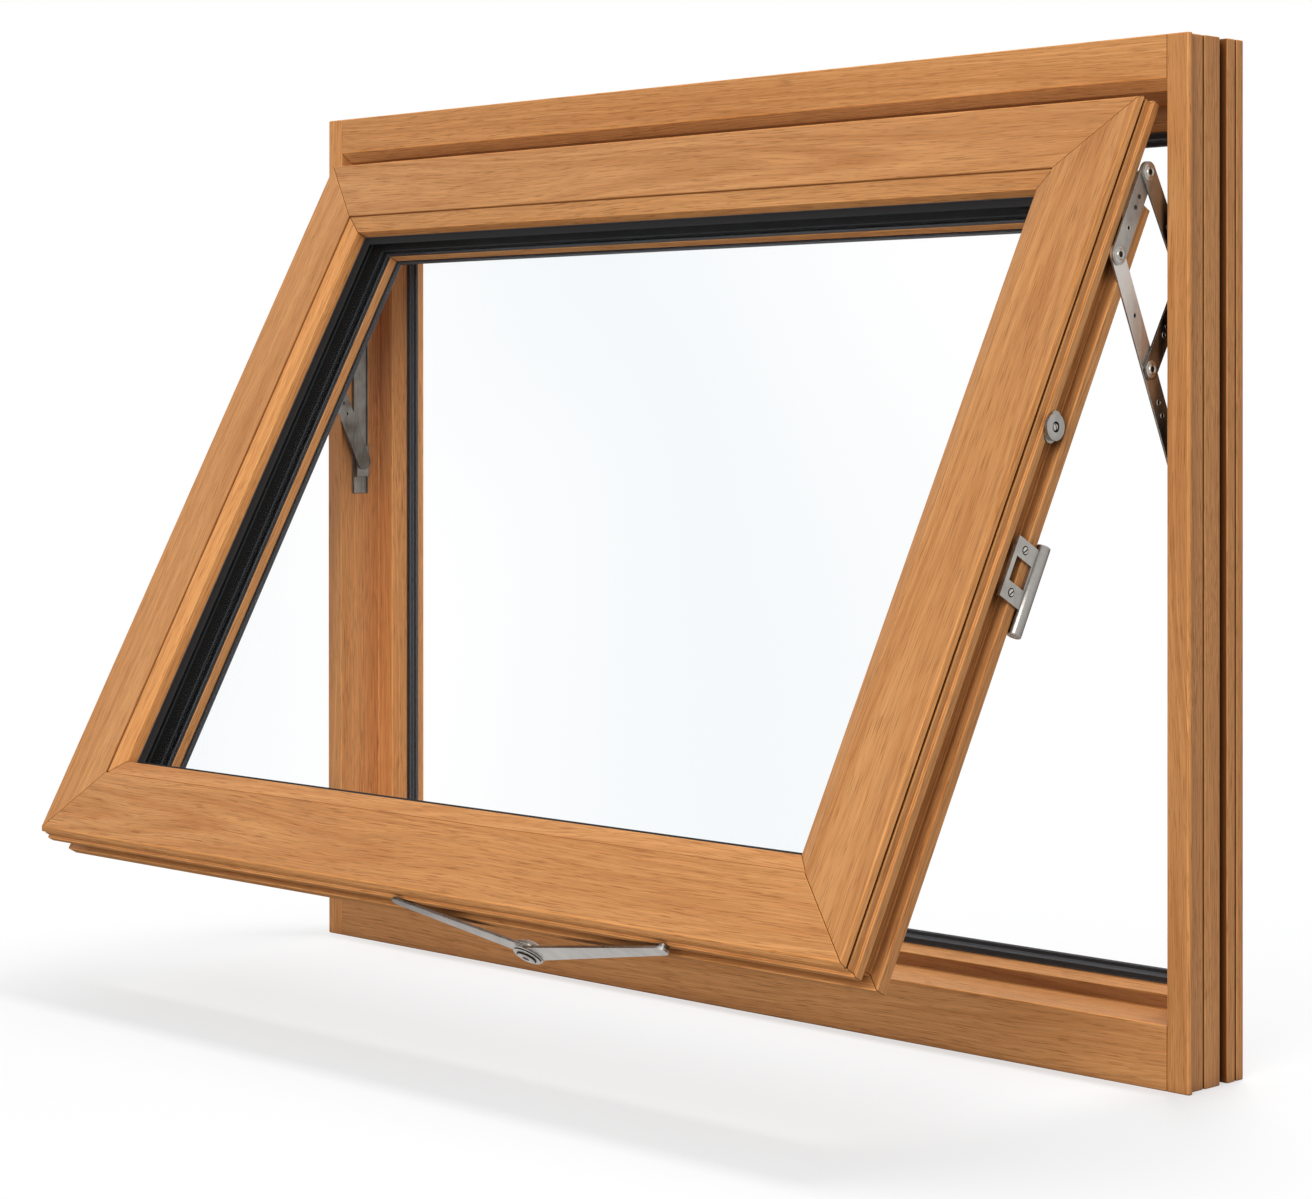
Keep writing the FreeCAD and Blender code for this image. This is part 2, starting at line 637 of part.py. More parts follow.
# Sash, its glazing beads and the sealed glass unit between two gaskets
sash_section = [
    ("0", "0"),
    ("sash_face_width", "0"),
    ("sash_face_width", UPSTAND_FRONT),
    (SIGHT_EDGE, UPSTAND_FRONT),
    (SIGHT_EDGE, f"{NOSE_BACK} - upstand_arris"),
    (f"{SIGHT_EDGE} - upstand_arris", NOSE_BACK),
    ("nose_setback", NOSE_BACK),
    ("nose_setback", SASH_BACK),
    ("-edge_overhang", SASH_BACK),
    ("-edge_overhang", LIP_FRONT),
    ("hardware_groove_depth - edge_overhang", LIP_FRONT),
    ("hardware_groove_depth - edge_overhang", GROOVE_FRONT),
    ("strip_chamfer - edge_overhang", GROOVE_FRONT),
    ("-edge_overhang", f"{GROOVE_FRONT} - strip_chamfer"),
    ("-edge_overhang", f"{STRIP_FRONT} + strip_step_depth"),
    ("-strip_overhang", f"{STRIP_FRONT} + strip_step_depth"),
    ("-strip_overhang", STRIP_FRONT),
    ("drip_groove_depth - edge_overhang", STRIP_FRONT),
    ("drip_groove_depth - edge_overhang", "front_arris_depth"),
    ("-front_arris_out", "front_arris_depth"),
]
bead_section = [
    ("sash_face_width", "bead_step"),
    (SIGHT_EDGE, "bead_step + bead_fall"),
    (SIGHT_EDGE, "bead_back"),
    ("sash_face_width", "bead_back"),
]
sash_names = {"top": "rail_top", "bottom": "rail_bottom", "left": "stile_left", "right": "stile_right"}
for place, name in sash_names.items():
    sash_side(f"sash_{name}", place, sash_section, place != "bottom")
    sash_side(f"glazing_bead_{place}", place, bead_section, False)
sash_surround("glazing_gasket_outer", GLASS_EDGE, SIGHT_EDGE, OUTER_PANE_FRONT, "gasket_thickness")
sash_surround("glazing_gasket_inner", GLASS_EDGE, SIGHT_EDGE, UPSTAND_FRONT, "gasket_thickness")
sash_surround("glass_spacer", SPACER_EDGE, SIGHT_EDGE, INNER_PANE_FRONT, "glass_gap")
pane("glass_outer_pane", OUTER_PANE_BACK)
pane("glass_inner_pane", INNER_PANE_BACK)

# Hardware
for name, side in (("left", -1), ("right", 1)):
    friction_stay(name, side)
    roller_cam(name, side)
    sash_catch(name, side)
restrictor()

# Each sub-part is checked and written under its own label
doc.recompute()
for item in doc.Objects:
    if "Invalid" in item.State or "Error" in item.State:
        raise RuntimeError(f"{item.Name} failed: {item.State}")
pieces = [item for item in doc.Objects if item.TypeId == "PartDesign::Body"]
os.makedirs("parts", exist_ok=True)
for piece in pieces:
    if piece.Shape.isNull() or not piece.Shape.isValid():
        raise RuntimeError(f"{piece.Label} has no valid shape")
    piece.Shape.exportStep(f"parts/{piece.Label}.step")
print(f"{len(pieces)} pieces written")
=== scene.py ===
import math
import bpy
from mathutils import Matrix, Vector


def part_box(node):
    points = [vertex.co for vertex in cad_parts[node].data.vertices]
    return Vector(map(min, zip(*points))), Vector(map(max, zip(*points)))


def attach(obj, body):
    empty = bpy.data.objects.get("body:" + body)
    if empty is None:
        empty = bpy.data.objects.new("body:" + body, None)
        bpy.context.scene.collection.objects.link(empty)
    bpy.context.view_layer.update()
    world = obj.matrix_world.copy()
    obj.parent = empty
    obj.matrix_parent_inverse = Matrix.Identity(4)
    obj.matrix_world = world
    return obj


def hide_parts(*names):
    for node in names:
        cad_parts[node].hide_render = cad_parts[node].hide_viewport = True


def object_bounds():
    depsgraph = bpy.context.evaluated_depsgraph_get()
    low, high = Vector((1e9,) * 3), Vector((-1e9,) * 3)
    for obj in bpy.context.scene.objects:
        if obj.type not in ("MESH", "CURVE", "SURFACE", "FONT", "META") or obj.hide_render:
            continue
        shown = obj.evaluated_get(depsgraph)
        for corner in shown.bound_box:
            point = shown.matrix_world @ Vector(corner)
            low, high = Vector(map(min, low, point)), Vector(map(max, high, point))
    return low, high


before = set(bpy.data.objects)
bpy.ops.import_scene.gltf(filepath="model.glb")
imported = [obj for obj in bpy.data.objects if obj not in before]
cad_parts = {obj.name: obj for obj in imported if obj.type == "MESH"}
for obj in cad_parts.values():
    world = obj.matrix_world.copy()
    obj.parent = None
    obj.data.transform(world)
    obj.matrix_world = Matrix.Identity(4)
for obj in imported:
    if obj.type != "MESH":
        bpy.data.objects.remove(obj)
cad_box = [list(corner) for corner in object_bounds()]

# Fixed frame: head, sill and two full-height jambs, planed from golden oak and finished with a satin
# lacquer. The jambs run through, the head and sill are scribed round their stops, and every arris is eased.
ALONG_SILL = Vector((1, 0, 0))
INDOORS = Vector((0, 1, 0))
UPRIGHT = Vector((0, 0, 1))


def paint(red, green, blue):
    """A colour as listed, in the renderer's own linear values."""
    mixed = []
    for part in (red, green, blue):
        share = min(part / 255, 1)
        mixed.append(share / 12.92 if share <= 0.04045 else ((share + 0.055) / 1.055) ** 2.4)
    return (*mixed, 1)


def shade(tree, kind, settings=None, **sockets):
    """One shader node. A socket is given a plain value or another node's output."""
    made = tree.nodes.new("ShaderNode" + kind)
    for key, value in (settings or {}).items():
        setattr(made, key, value)
    for key, value in sockets.items():
        socket = made.inputs[int(key[1:])] if key[1:].isdigit() else made.inputs[key]
        if isinstance(value, bpy.types.NodeSocket):
            tree.links.new(value, socket)
        else:
            socket.default_value = value
    return made


def work(tree, operation, one, two=0.0):
    """One step of arithmetic in a finish."""
    return shade(tree, "Math", {"operation": operation}, i0=one, i1=two).outputs[0]


def ramp(tree, value, low, high, start=0.0, end=1.0):
    """The value's run from low to high, stretched from start to end and held beyond."""
    ends = {"From Min": low, "From Max": high, "To Min": start, "To Max": end}
    return shade(tree, "MapRange", Value=value, **ends).outputs[0]


def stain(tree, share, one, two, kind="MIX"):
    """Two colours, mixed by a share."""
    settings = {"data_type": "RGBA", "blend_type": kind}
    return shade(tree, "Mix", settings, i0=share, i6=one, i7=two).outputs[2]


def new_finish(name):
    """An empty finish, with its tree of nodes and its surface."""
    finish = bpy.data.materials.new(name)
    finish.use_nodes = True
    return finish, finish.node_tree, finish.node_tree.nodes["Principled BSDF"]


def distance_along(tree, place, direction, start=0.0):
    """How far a place lies along a direction, measured from a start."""
    dot = shade(tree, "VectorMath", {"operation": "DOT_PRODUCT"}, i0=place, i1=direction)
    return work(tree, "SUBTRACT", dot.outputs["Value"], start)


def swing(tree, noise, reach):
    """Noise from nought to one, turned into a swing to both sides."""
    return work(tree, "MULTIPLY", work(tree, "SUBTRACT", noise, 0.5), reach)


OAK_LIGHT = (225, 161, 100)
OAK_DEEP = (199, 133, 75)
OAK_PORE = (146, 86, 40)
# Painted shade for crevices.
OAK_PAINTED_SHADE = (58, 25, 9)
# Dark lines at joints, and painted shade in grooves, quirks and the stop's corner.
OAK_JOINT_AND_SHADE = (92, 48, 20)
PLANK_STEP = 1.731
HEART_DEPTH, HEART_STEP, HEART_ASIDE = 0.052, 0.006, 0.005
RINGS_PER_METRE, RING_TAPER, RING_WANDER = 620.0, 0.011, 0.034
RING_OCTAVES, RING_ROUGH, RING_SHARE = 2.0, 0.6, 0.5
# Lengths and widths to the metre, octaves and roughness of the figures that run along the fibres.
DRIFT = (2.6, 9.0, 1.5, 0.5)
BROAD = (2.0, 55.0, 2.0, 0.5)
FIBRE = (14.0, 1500.0, 2.0, 0.6)
PORES = (44.0, 950.0, 2.0, 0.55)
FIGURE_RANGE = (0.33, 0.67)
FIBRE_RANGE, FIBRE_TONES, FIBRE_RELIEF = (0.3, 0.7), (0.8, 1.15), 0.3
PORE_RANGE, PORE_STRENGTH = (0.53, 0.72), 0.6
CREVICE_SHADE_REACH, CREVICE_SHADE_RANGE, CREVICE_SHADE_STRENGTH = 0.018, (0.1, 0.64), 0.9
CREVICE_SHADE_RAYS = 8
JOINT_AND_SHADE_RANGE = (0.0003, 0.0009)
LACQUER_ROUGH, PORE_ROUGH, UNDERSIDE_ROUGH = 0.42, 0.6, 1.0
UNDERSIDE_RANGE = (-0.5, -0.2)
GRAIN_BUMP, GRAIN_DEPTH = 0.2, 0.0005


def oak(name, node, lengthwise, facing, aside, plank, tone, joint_and_shade_lines, darkness, sheen):
    """Lacquered oak. Its growth rings, fibres and pores run along the plank, whose heart lies behind its
    face. Shade is painted into its crevices from ambient occlusion, and dark lines are painted along the
    joints that the line function finds, partly as shade in grooves, quirks and the stop's corner.
    Undersides are left unpolished."""
    finish, tree, surface = new_finish(name)
    low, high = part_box(node)
    heart = (low + high) / 2
    place = shade(tree, "TexCoord").outputs["Object"]
    shift = (PLANK_STEP * plank, HEART_DEPTH + HEART_STEP * (plank % 4), HEART_ASIDE * (plank % 5 - 2))
    along, thick, wide = (
        distance_along(tree, place, direction, heart.dot(direction) - offset)
        for direction, offset in zip((lengthwise, facing, aside), shift)
    )

    def drawn_out(across, lengths, widths, octaves, roughness):
        """Noise drawn out along the fibres, with so many lengths and widths to the metre."""
        point = shade(tree, "CombineXYZ", X=work(tree, "MULTIPLY", along, lengths),
                      Y=work(tree, "MULTIPLY", across, widths), Z=work(tree, "MULTIPLY", thick, widths))
        made = shade(tree, "TexNoise", Vector=point.outputs[0], Scale=1.0,
                     Detail=octaves, Roughness=roughness)
        return made.outputs["Fac"]

    wander = work(tree, "ADD", wide, swing(tree, drawn_out(wide, *DRIFT), RING_WANDER))
    square = work(tree, "ADD", work(tree, "MULTIPLY", wander, wander), work(tree, "MULTIPLY", thick, thick))
    radius = work(tree, "ADD", work(tree, "SQRT", square), work(tree, "MULTIPLY", along, RING_TAPER))
    ring_count = work(tree, "MULTIPLY", radius, RINGS_PER_METRE)
    ring = shade(tree, "TexNoise", {"noise_dimensions": "1D"}, W=ring_count,
                 Scale=1.0, Detail=RING_OCTAVES, Roughness=RING_ROUGH).outputs["Fac"]
    broad = drawn_out(wander, *BROAD)
    fibre = drawn_out(wander, *FIBRE)
    pores = drawn_out(wander, *PORES)
    figure = work(tree, "ADD", work(tree, "MULTIPLY", ring, RING_SHARE),
                  work(tree, "MULTIPLY", broad, 1 - RING_SHARE))
    light, deep, pore = (paint(*(part * tone for part in mix)) for mix in (OAK_LIGHT, OAK_DEEP, OAK_PORE))
    ground = stain(tree, ramp(tree, figure, *FIGURE_RANGE), light, deep)
    open_grain = ramp(tree, pores, *PORE_RANGE, 0.0, PORE_STRENGTH)
    fine = ramp(tree, fibre, *FIBRE_RANGE, *FIBRE_TONES)
    colour = stain(tree, 1.0, stain(tree, open_grain, ground, pore), fine, "MULTIPLY")
    # Painted shade: the colour darkens where ambient occlusion finds a crevice.
    occlusion = shade(tree, "AmbientOcclusion", {"samples": CREVICE_SHADE_RAYS}, Distance=CREVICE_SHADE_REACH)
    shadow = ramp(tree, occlusion.outputs["AO"], *CREVICE_SHADE_RANGE, CREVICE_SHADE_STRENGTH, 0.0)
    colour = stain(tree, shadow, colour, paint(*OAK_PAINTED_SHADE))
    # Dark joint lines, partly painted shade at quirks, stop corners and jamb grooves.
    line = ramp(tree, joint_and_shade_lines(tree, place), *JOINT_AND_SHADE_RANGE, darkness, 0.0)
    colour = stain(tree, line, colour, paint(*OAK_JOINT_AND_SHADE))
    tree.links.new(colour, surface.inputs["Base Color"])
    rough = ramp(tree, open_grain, 0.0, PORE_STRENGTH, LACQUER_ROUGH, PORE_ROUGH)
    upward = distance_along(tree, shade(tree, "NewGeometry").outputs["Normal"], UPRIGHT)
    rough = work(tree, "MAXIMUM", rough, ramp(tree, upward, *UNDERSIDE_RANGE, UNDERSIDE_ROUGH, 0.0))
    tree.links.new(rough, surface.inputs["Roughness"])
    surface.inputs["Specular IOR Level"].default_value = sheen
    relief = work(tree, "SUBTRACT", work(tree, "MULTIPLY", fibre, FIBRE_RELIEF), open_grain)
    bump = shade(tree, "Bump", Height=relief, Strength=GRAIN_BUMP, Distance=GRAIN_DEPTH)
    tree.links.new(bump.outputs[0], surface.inputs["Normal"])
    return finish


def dress(node, finish):
    """Gives a piece one finish all over."""
    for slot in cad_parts[node].material_slots:
        slot.material = finish


WELD_GAP = 0.00001
ARRIS_STEPS = 2
ARRIS_ANGLE = math.radians(30)


def ease(node, arris, edge):
    """Rounds a piece's sharp arrises a little, as sanding or tumbling does, in a finish of their own."""
    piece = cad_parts[node]
    piece.data.materials.append(edge)
    weld = piece.modifiers.new("weld", "WELD")
    weld.merge_threshold = WELD_GAP
    bevel = piece.modifiers.new("arris", "BEVEL")
    bevel.width = arris
    bevel.segments = ARRIS_STEPS
    bevel.limit_method = "ANGLE"
    bevel.angle_limit = ARRIS_ANGLE
    bevel.material = len(piece.material_slots) - 1
    normals = piece.modifiers.new("normals", "WEIGHTED_NORMAL")
    normals.keep_sharp = True


FACE_SHEEN, EDGE_SHEEN = 0.22, 0.04
# Arrises are painted paler, as a highlight.
EDGE_HIGHLIGHT_TONE = 1.12


def plank_piece(node, plank, tone, directions, arris, joint_and_shade_lines, darkness):
    """An oak piece from a plank of its own, with arrises painted paler than its faces as a highlight, and
    duller.
    """
    board = (node, *directions, plank)
    dress(node, oak(f"oak_{node}", *board, tone, joint_and_shade_lines, darkness, FACE_SHEEN))
    ease(node, arris, oak(f"oak_{node}_arris", *board, tone * EDGE_HIGHLIGHT_TONE, joint_and_shade_lines, darkness, EDGE_SHEEN))


JOINT_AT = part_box("frame_head")[1].x
FRAME_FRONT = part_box("frame_jamb_right")[0].y
STOP_DEPTH = 0.047


def shoulder_and_stop(tree, place):
    """How far a point of the head or sill is from its shoulder joint on the jamb, or from its stop's face,
    where shade is painted.
    """
    across = work(tree, "ABSOLUTE", distance_along(tree, place, ALONG_SILL))
    shoulder = work(tree, "ABSOLUTE", work(tree, "SUBTRACT", across, JOINT_AT))
    stop = work(tree, "ABSOLUTE", distance_along(tree, place, INDOORS, FRAME_FRONT + STOP_DEPTH))
    return work(tree, "MINIMUM", shoulder, stop)


JAMB_FACE = 0.5
GROOVE_FLOOR = 0.487
GROOVES = ((0.0245, 0.002), (0.046, 0.009), (0.0655, 0.0018))
GROOVE_EASE = 0.0004


def jamb_groove_shade(tree, place):
    """Nought inside the grooves of a jamb's outer edge, and more elsewhere, so that shade is painted into the
    grooves.
    """
    across = work(tree, "ABSOLUTE", distance_along(tree, place, ALONG_SILL))
    deep = distance_along(tree, place, INDOORS, FRAME_FRONT)
    half = (JAMB_FACE - GROOVE_FLOOR) / 2
    inside = work(tree, "ABSOLUTE", work(tree, "SUBTRACT", across, GROOVE_FLOOR + half))
    inside = work(tree, "SUBTRACT", inside, half - 3 * GROOVE_EASE)
    nearest = None
    for start, width in GROOVES:
        off = work(tree, "ABSOLUTE", work(tree, "SUBTRACT", deep, start + width / 2))
        off = work(tree, "SUBTRACT", off, width / 2 + GROOVE_EASE)
        nearest = work(tree, "MINIMUM", nearest, off) if nearest else off
    return work(tree, "MAXIMUM", inside, nearest)


FRAME_ARRIS = 0.0009
# How dark the joint lines and their painted shade go, and how dark the painted shade in the jamb grooves.
RAIL_LINE, GROOVE_SHADE = 0.62, 0.74
CROSSWISE = (ALONG_SILL, INDOORS, UPRIGHT)
LENGTHWISE = (UPRIGHT, INDOORS, ALONG_SILL)
plank_piece("frame_head", 1, 1.02, CROSSWISE, FRAME_ARRIS, shoulder_and_stop, RAIL_LINE)
plank_piece("frame_sill", 2, 0.98, CROSSWISE, FRAME_ARRIS, shoulder_and_stop, RAIL_LINE)
plank_piece("frame_jamb_left", 4, 1.07, LENGTHWISE, FRAME_ARRIS, jamb_groove_shade, GROOVE_SHADE)
plank_piece("frame_jamb_right", 5, 0.99, LENGTHWISE, FRAME_ARRIS, jamb_groove_shade, GROOVE_SHADE)

# Weather seal: one black extruded rubber profile with a stepped lip, pressed into the corner of the frame's
# stop all the way round.
RUBBER_BLACK = (24, 25, 27)
RUBBER_SHEEN = (78, 80, 84)
RUBBER_GLOSS = 0.3
DUST_SCALE, DUST_TONES = 220.0, (0.75, 1.3)
DUST_BUMP, DUST_DEPTH = 0.15, 0.0004
SEAL_ARRIS = 0.0012
SEAL_ROUGH, SEAL_EDGE_ROUGH = 0.5, 0.45


def rubber(name, colour, roughness):
    """Extruded rubber with a little dust on it."""
    finish, tree, surface = new_finish(name)
    place = shade(tree, "TexCoord").outputs["Object"]
    dust = shade(tree, "TexNoise", Vector=place, Scale=DUST_SCALE, Detail=3.0).outputs["Fac"]
    tint = stain(tree, 1.0, paint(*colour), ramp(tree, dust, 0.0, 1.0, *DUST_TONES), "MULTIPLY")
    tree.links.new(tint, surface.inputs["Base Color"])
    surface.inputs["Roughness"].default_value = roughness
    surface.inputs["Specular IOR Level"].default_value = RUBBER_GLOSS
    bump = shade(tree, "Bump", Height=dust, Strength=DUST_BUMP, Distance=DUST_DEPTH)
    tree.links.new(bump.outputs[0], surface.inputs["Normal"])
    return finish


dress("frame_seal", rubber("seal_rubber", RUBBER_BLACK, SEAL_ROUGH))
# The eased edges take a paler rubber, a painted sheen.
ease("frame_seal", SEAL_ARRIS, rubber("seal_edge", RUBBER_SHEEN, SEAL_EDGE_ROUGH))

# Sash: two rails and two stiles of the same oak, mitred and glued at the corners, with a drip groove and a
# hardware groove run round the outer edges and a rebate for the glass behind the beads.
pane_face = max(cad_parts["glass_outer_pane"].data.polygons, key=lambda face: face.area).normal
SASH_OUT = pane_face.copy() if pane_face.y < 0 else -pane_face
UP_SASH = SASH_OUT.cross(ALONG_SILL)
SASH_ARRIS = 0.0008
FACE_WIDTH = 0.058
EDGE_OVERHANG = 0.005
QUIRK_DEPTH = 0.012


def sash_reach(direction):
    """The lowest and highest place of the sash along a direction."""
    places = []
    for side in ("stile_left", "stile_right", "rail_top", "rail_bottom"):
        places += [corner.co.dot(direction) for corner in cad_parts[f"sash_{side}"].data.vertices]
    return min(places), max(places)


SASH_HALF = sash_reach(ALONG_SILL)[1] - EDGE_OVERHANG
SASH_TOP = sash_reach(UP_SASH)[1] - EDGE_OVERHANG
SASH_FOOT = sash_reach(UP_SASH)[0] + EDGE_OVERHANG
SASH_FACE = sash_reach(SASH_OUT)[1]


def sash_point(across, back, drop):
    """A point of the sash: across from its middle, back from its front face and down from its top edge."""
    return ALONG_SILL * across + SASH_OUT * (SASH_FACE - back) + UP_SASH * (SASH_TOP - drop)


def behind_face(tree, place):
    """How far a point lies back from the sash's front face."""
    return work(tree, "MULTIPLY", distance_along(tree, place, SASH_OUT, SASH_FACE), -1.0)


def mitre_and_quirk(tree, place):
    """How far a point is from the nearest mitre, or from the quirk where the face meets its bead, whose dark
    line is partly painted shadow.
    """
    across = work(tree, "ABSOLUTE", distance_along(tree, place, ALONG_SILL))
    from_top = work(tree, "MULTIPLY", distance_along(tree, place, UP_SASH, SASH_TOP), -1.0)
    from_end = work(tree, "MINIMUM", from_top, work(tree, "SUBTRACT", SASH_TOP - SASH_FOOT, from_top))
    from_side = work(tree, "SUBTRACT", SASH_HALF, across)
    mitre = work(tree, "ABSOLUTE", work(tree, "SUBTRACT", from_end, from_side))
    inset = work(tree, "MINIMUM", from_end, from_side)
    quirk = work(tree, "ABSOLUTE", work(tree, "SUBTRACT", inset, FACE_WIDTH))
    too_deep = work(tree, "GREATER_THAN", behind_face(tree, place), QUIRK_DEPTH)
    return work(tree, "MINIMUM", mitre, work(tree, "ADD", quirk, too_deep))


RAIL = (ALONG_SILL, SASH_OUT, UP_SASH)
STILE = (UP_SASH, SASH_OUT, ALONG_SILL)
plank_piece("sash_rail_top", 7, 0.97, RAIL, SASH_ARRIS, mitre_and_quirk, RAIL_LINE)
plank_piece("sash_rail_bottom", 8, 1.0, RAIL, SASH_ARRIS, mitre_and_quirk, RAIL_LINE)
plank_piece("sash_stile_left", 10, 1.02, STILE, SASH_ARRIS, mitre_and_quirk, RAIL_LINE)
plank_piece("sash_stile_right", 11, 0.97, STILE, SASH_ARRIS, mitre_and_quirk, RAIL_LINE)

# Glazing beads: slim bevelled oak strips, mitred at the corners and pinned to the sash. They hold the glass
# unit in from outdoors.
BEAD_ARRIS = 0.0006
plank_piece("glazing_bead_top", 13, 0.98, RAIL, BEAD_ARRIS, mitre_and_quirk, RAIL_LINE)
plank_piece("glazing_bead_bottom", 14, 1.0, RAIL, BEAD_ARRIS, mitre_and_quirk, RAIL_LINE)
plank_piece("glazing_bead_left", 16, 1.1, STILE, BEAD_ARRIS, mitre_and_quirk, RAIL_LINE)
plank_piece("glazing_bead_right", 17, 0.98, STILE, BEAD_ARRIS, mitre_and_quirk, RAIL_LINE)

# Gaskets and spacer: black rubber strips bed the two panes, and the outer one ends in a soft lip on the
# glass. A dark warm-edge spacer with two pressed lines keeps the panes apart. A grey rubber trim is pressed
# on the back of the inner nose.
GASKET_ROUGH, GASKET_EDGE_ROUGH = 0.55, 0.5
# The eased edges of each gasket take a paler rubber, a painted sheen.
for node in ("glazing_gasket_outer", "glazing_gasket_inner"):
    dress(node, rubber(f"rubber_{node}", RUBBER_BLACK, GASKET_ROUGH))
    ease(node, BEAD_ARRIS, rubber(f"edge_{node}", RUBBER_SHEEN, GASKET_EDGE_ROUGH))
SPACER_BLACK = (25, 27, 28)
SPACER_LINE = (60, 63, 66)
SPACER_LINES = (0.0285, 0.0415)
LINE_HALF = 0.0004
SPACER_ROUGH, SPACER_GLOSS = 0.7, 0.05
spacer_bar, tree, surface = new_finish("spacer_bar")
behind = behind_face(tree, shade(tree, "TexCoord").outputs["Object"])
nearest = None
for line_at in SPACER_LINES:
    off = work(tree, "ABSOLUTE", work(tree, "SUBTRACT", behind, line_at))
    nearest = work(tree, "MINIMUM", nearest, off) if nearest else off
pressed = ramp(tree, nearest, LINE_HALF, 3 * LINE_HALF, 1.0, 0.0)
spacer_tint = stain(tree, pressed, paint(*SPACER_BLACK), paint(*SPACER_LINE))
tree.links.new(spacer_tint, surface.inputs["Base Color"])
surface.inputs["Roughness"].default_value = SPACER_ROUGH
surface.inputs["Specular IOR Level"].default_value = SPACER_GLOSS
dress("glass_spacer", spacer_bar)
SHARP_ANGLE = math.radians(40)


def add_piece(name, points, faces, finishes, finish_picks=None):
    """A new piece of the window from its points and faces, with sharp edges where it turns a corner."""
    mesh = bpy.data.meshes.new(name)
    mesh.from_pydata([tuple(point) for point in points], [], faces)
    for finish in finishes:
        mesh.materials.append(finish)
    for face, index in zip(mesh.polygons, finish_picks or [0] * len(faces)):
        face.material_index = index
        face.use_smooth = True
    mesh.set_sharp_from_angle(angle=SHARP_ANGLE)
    piece = bpy.data.objects.new(name, mesh)
    bpy.context.collection.objects.link(piece)
    return piece


SASH_CORNERS = ((-1, 0), (1, 0), (1, 1), (-1, 1))


def round_the_sash(outline, closed=True):
    """Points and faces of a strip laid round the sash. Its outline gives reach in from the edge and depth."""
    points = []
    for right, bottom in SASH_CORNERS:
        for inset, back in outline:
            drop = SASH_TOP - SASH_FOOT - inset if bottom else inset
            points.append(sash_point(right * (SASH_HALF - inset), back, drop))
    faces = []
    steps = len(outline)
    for corner in range(len(SASH_CORNERS)):
        one, two = corner * steps, (corner + 1) % len(SASH_CORNERS) * steps
        for step in range(steps if closed else steps - 1):
            following = (step + 1) % steps
            faces.append((one + step, two + step, two + following, one + following))
    return points, faces


TRIM_GREY = (66, 68, 72)
TRIM_OUTER, TRIM_INNER = 0.0655, 0.0722
TRIM_FRONT, TRIM_BACK = 0.064, 0.0685
TRIM_ROUND, TRIM_ROUGH = 0.0012, 0.5
LIP_ROOT, LIP_TIP = 0.071, 0.0772
LIP_FRONT, LIP_BACK = 0.0174, 0.02095
LIP_ROUND, LIP_ROUGH = 0.0006, 0.6
trim_outline = [
    (TRIM_OUTER, TRIM_FRONT), (TRIM_OUTER, TRIM_BACK), (TRIM_INNER - TRIM_ROUND, TRIM_BACK),
    (TRIM_INNER, TRIM_BACK - TRIM_ROUND), (TRIM_INNER, TRIM_FRONT),
]
lip_outline = [
    (LIP_ROOT, LIP_FRONT), (LIP_ROOT, LIP_BACK), (LIP_TIP, LIP_BACK),
    (LIP_TIP + LIP_ROUND, LIP_BACK - LIP_ROUND), (LIP_TIP, LIP_BACK - 2 * LIP_ROUND),
]
strips = {
    "nose_trim": (trim_outline, rubber("trim_rubber", TRIM_GREY, TRIM_ROUGH)),
    "glazing_lip": (lip_outline, rubber("lip_rubber", RUBBER_BLACK, LIP_ROUGH)),
}
for name, (outline, finish) in strips.items():
    strip = add_piece(name, *round_the_sash(outline), [finish])
    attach(strip, "root")

# Glass: two panes of clear float glass with ground edges and polished faces, with a faint cool tint painted
# across them in diagonal bands as a reflection. Each lies a hair clear of the spacer and of its gasket.
GLASS_CLEAR = (255, 255, 255)
GLASS_REFLECTION_COOL = (250, 252, 253)
GLASS_IOR = 1.05
REFLECTION_START, REFLECTION_REPEAT, REFLECTION_RANGE = 0.4, 0.45, (0.05, 0.42)
REFLECTION_CLOUDS, REFLECTION_SWAY = 1.6, 0.5
PANE_EDGE = 0.0605
PANE_ARRIS = 0.0006
PANE_FRONTS = {"outer": 0.021, "inner": 0.045}
PANE_THICKNESS = 0.004
BEDDING = 0.0003
glass, tree, surface = new_finish("clear_glass")
place = shade(tree, "TexCoord").outputs["Object"]
# Painted reflection: cool diagonal bands across the panes.
rise = distance_along(tree, place, UP_SASH, SASH_TOP - REFLECTION_START)
slant = work(tree, "ADD", distance_along(tree, place, ALONG_SILL), rise)
cloud = shade(tree, "TexNoise", Vector=place, Scale=REFLECTION_CLOUDS, Detail=1.0).outputs["Fac"]
slant = work(tree, "ADD", slant, work(tree, "MULTIPLY", cloud, REFLECTION_SWAY))
reflection_band = ramp(tree, work(tree, "PINGPONG", slant, REFLECTION_REPEAT), *REFLECTION_RANGE)
tree.links.new(stain(tree, reflection_band, paint(*GLASS_CLEAR), paint(*GLASS_REFLECTION_COOL)), surface.inputs["Base Color"])
surface.inputs["Roughness"].default_value = 0.0
surface.inputs["IOR"].default_value = GLASS_IOR
surface.inputs["Transmission Weight"].default_value = 1.0
